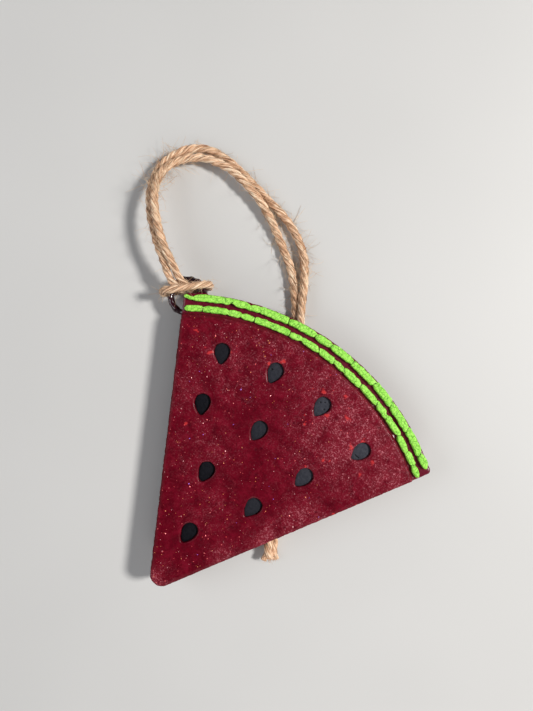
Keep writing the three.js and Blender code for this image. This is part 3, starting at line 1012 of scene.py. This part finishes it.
def finish_row(skin, name, node, radius, joints):
    mesh = remeshed(skin.mesh("gathered"), 0.15 * MM)
    relax(mesh, 1)
    half_width = 0.17 * MM
    crack_depth = 0.45 * MM

    def height(place, normal):
        flat = Vector(place[:2]) - RIM_CENTRE
        angle = math.atan2(flat.y, flat.x)
        out = flat.length - radius
        broad = 0.24 - 0.14 * abs(normal.z)
        lumps = broad * noise.noise(place / (1.5 * MM)) + 0.11 * noise.noise(place / (0.5 * MM))
        wave = 0.12 * MM * noise.noise(place / (0.9 * MM))
        groove = 0.0
        for joint, lean, open_side, pinch in joints:
            away = abs((angle - joint) * radius - lean * out + wave)
            if away < half_width:
                is_open = open_side is not None and open_side * out > -0.1 * MM
                groove = max(groove, (crack_depth if is_open else pinch) * (1 - away / half_width))
        return lumps * MM - groove

    push(mesh, height)
    mark_relief(mesh, 0.45 * MM)
    mesh.materials.append(MATERIALS["rind"])
    piece = shown(name, mesh)
    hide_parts(node)


def make_rind():
    bead_row("rind_beads_outer", "rind_row_outer", OUTER_ROW)
    bead_row("rind_beads_inner", "rind_row_inner", INNER_ROW)


# ---- seeds and glitter

SEED_COUNT = 10
SEED_BOXES = [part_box(f"seed_{number:02d}") for number in range(1, SEED_COUNT + 1)]

# By seed, its pits and scores: each dot has a place about the seed's middle and a size, in millimetres
SEED_PITS = {
    2: [((-1.2, 0.6), 0.40)],
    3: [((-1.0, 1.1), 0.26), ((1.1, 0.0), 0.28), ((0.1, 1.8), 0.22)],
    4: [((-0.8, -1.5), 0.26), ((-0.4, -1.55), 0.26), ((0.0, -1.6), 0.26), ((0.4, -1.65), 0.26)],
}


def make_seed(number):
    """A seed that fills its pocket from wall to wall, a little crowned and pitted."""
    node = f"seed_{number:02d}"
    low, high = (Vector(corner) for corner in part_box(node))
    middle = (low + high) / 2
    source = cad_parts[node].data.copy()
    spread = 1.16
    for vertex in source.vertices:
        vertex.co.xy = middle.xy + (vertex.co.xy - middle.xy) * spread
    mesh = remeshed(source, 0.16 * MM)
    relax(mesh, 1)
    pits = [(middle.xy + Vector(spot) * MM, size * MM) for spot, size in SEED_PITS.get(number, [])]

    def height(place, normal):
        if normal.z < 0.5:
            return 0.0
        flat = Vector(place[:2])
        crown = 0.12 * MM * (1 - ((flat - middle.xy).length / (3.2 * MM)) ** 2)
        tooth = MM * (0.05 * noise.noise(place / (0.8 * MM)) + 0.03 * noise.noise(place / (0.35 * MM)))
        pit = sum(max(0.0, 1 - ((flat - spot).length / size) ** 2) for spot, size in pits)
        return crown + tooth - 0.3 * MM * pit

    push(mesh, height)
    mark_relief(mesh, 0.45 * MM)
    # Painted sheen: paler the further the seed lies from the point towards the key light
    along = (middle.xy - WEDGE_POINT) / MM
    painted_sheen = min(max(0.02 * along.x + 0.016 * along.y - 0.45, 0.0), 1.0)
    store(mesh, "painted_sheen", [painted_sheen] * len(mesh.vertices))
    mesh.materials.append(MATERIALS["seed"])
    piece = shown(f"{node}_slate", mesh)
    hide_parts(node)


def near_seed(place):
    """Whether a place on the face is over a seed's pocket or just beside it."""
    return any(
        low[0] - MM < place.x < high[0] + MM and low[1] - MM < place.y < high[1] + MM
        for low, high in SEED_BOXES
    )


FLAKE_SIDES = 6
GLITTER = {
    "glitter_red": (0.62, 0.022, 0.028),
    "glitter_gold": (0.80, 0.20, 0.04),
    "glitter_rose": (0.70, 0.24, 0.26),
    "glitter_violet": (0.40, 0.12, 0.85),
}


def make_glitter():
    """Flakes of glitter cast into the face, thickest towards the left side and the point."""
    dice = random.Random(77)
    skin = Skin()
    count = 480
    while len(skin.points) < count * 2 * FLAKE_SIDES:
        place = Vector((dice.uniform(-42, 50), dice.uniform(-44, 39))) * MM
        leftness = (10 * MM - place.x) / (50 * MM) + (10 * MM - place.y) / (90 * MM)
        if dice.random() > 0.35 + 0.6 * leftness or near_seed(place) or not in_slice(place, 0.8 * MM):
            continue
        if (place - RIM_CENTRE).length > FLESH_RADIUS - 0.5 * MM:
            continue
        add_flake(skin, Vector((place.x, place.y, FACE - 0.02 * MM)), dice)
    piece = skin.piece("glitter", *(MATERIALS[name] for name in GLITTER), smooth=False)


def add_flake(skin, place, dice):
    """A thin hexagonal flake, tilted a little."""
    size = dice.choice((0.10, 0.12, 0.14, 0.19)) * MM
    tilt = Matrix.Rotation(dice.gauss(0, 0.35), 3, "X") @ Matrix.Rotation(dice.gauss(0, 0.35), 3, "Y")
    axis = np.array(tilt @ Vector((0, 0, 1))) * 0.05 * MM
    path = np.array([np.array(place) - axis / 2, np.array(place) + axis / 2])
    slot = dice.choices((0, 1, 2, 3), (10, 5, 5, 1))[0]
    radii = np.full((2, FLAKE_SIDES), size)
    skin.tube(circle_rings(path, radii, FLAKE_SIDES, dice.uniform(0, 1)), slot=slot)


# ---- floor and light


def make_stage():
    look = Look("floor_pale", {"Roughness": 0.6})
    colour = look.ramp(look.noise(0.01, detail=2), (0.3, (0.57, 0.57, 0.565)), (0.7, (0.60, 0.60, 0.595)))
    mesh = bpy.data.meshes.new("floor")
    half = 1.5
    corners = [(-half, -half, 0), (half, -half, 0), (half, half, 0), (-half, half, 0)]
    mesh.from_pydata(corners, [], [(0, 1, 2, 3)])
    mesh.materials.append(look.finish(colour))
    floor = bpy.data.objects.new("floor", mesh)
    bpy.context.scene.collection.objects.link(floor)


def add_light(name, azimuth, elevation, distance, size, power, colour):
    """A soft lamp that looks at the part from an azimuth about +Z, from +X, and an elevation in degrees."""
    data = bpy.data.lights.new(name, "AREA")
    data.shape = "DISK"
    data.size = size
    data.energy = power
    data.color = colour
    lamp = bpy.data.objects.new(name, data)
    turn, rise = math.radians(azimuth), math.radians(elevation)
    direction = Vector((math.cos(rise) * math.cos(turn), math.cos(rise) * math.sin(turn), math.sin(rise)))
    lamp.location = direction * distance
    lamp.rotation_euler = direction.to_track_quat("Z", "Y").to_euler()
    bpy.context.scene.collection.objects.link(lamp)


def make_light():
    """A soft key from the right and two large fills, set low enough to keep their gloss off the face."""
    add_light("key", 46.5, 47, 0.9, 0.15, 8.6, (1.0, 0.97, 0.93))
    add_light("fill_left", 205, 38, 1.0, 0.7, 3.0, (0.93, 0.96, 1.0))
    add_light("fill_front", 310, 35, 1.0, 0.7, 2.5, (1.0, 0.98, 0.96))
    world = bpy.data.worlds.new("studio")
    world.use_nodes = True
    world.node_tree.nodes["Background"].inputs["Color"].default_value = (0.93, 0.95, 1.0, 1)
    world.node_tree.nodes["Background"].inputs["Strength"].default_value = 0.10
    bpy.context.scene.world = world
    bpy.context.scene.view_settings.view_transform = "Standard"


MATERIALS = {
    "flesh": flesh_look(),
    "ledge": ledge_look(),
    "eyelet": eyelet_look(),
    "rind": rind_look(),
    "seed": seed_look(),
    "jute": jute_look(),
    "hair": hair_look(),
    **{name: glitter_look(name, colour) for name, colour in GLITTER.items()},
}

make_camera()
make_twine()
make_casting()
make_rind()
for number in range(1, SEED_COUNT + 1):
    make_seed(number)
make_glitter()
make_stage()
make_light()
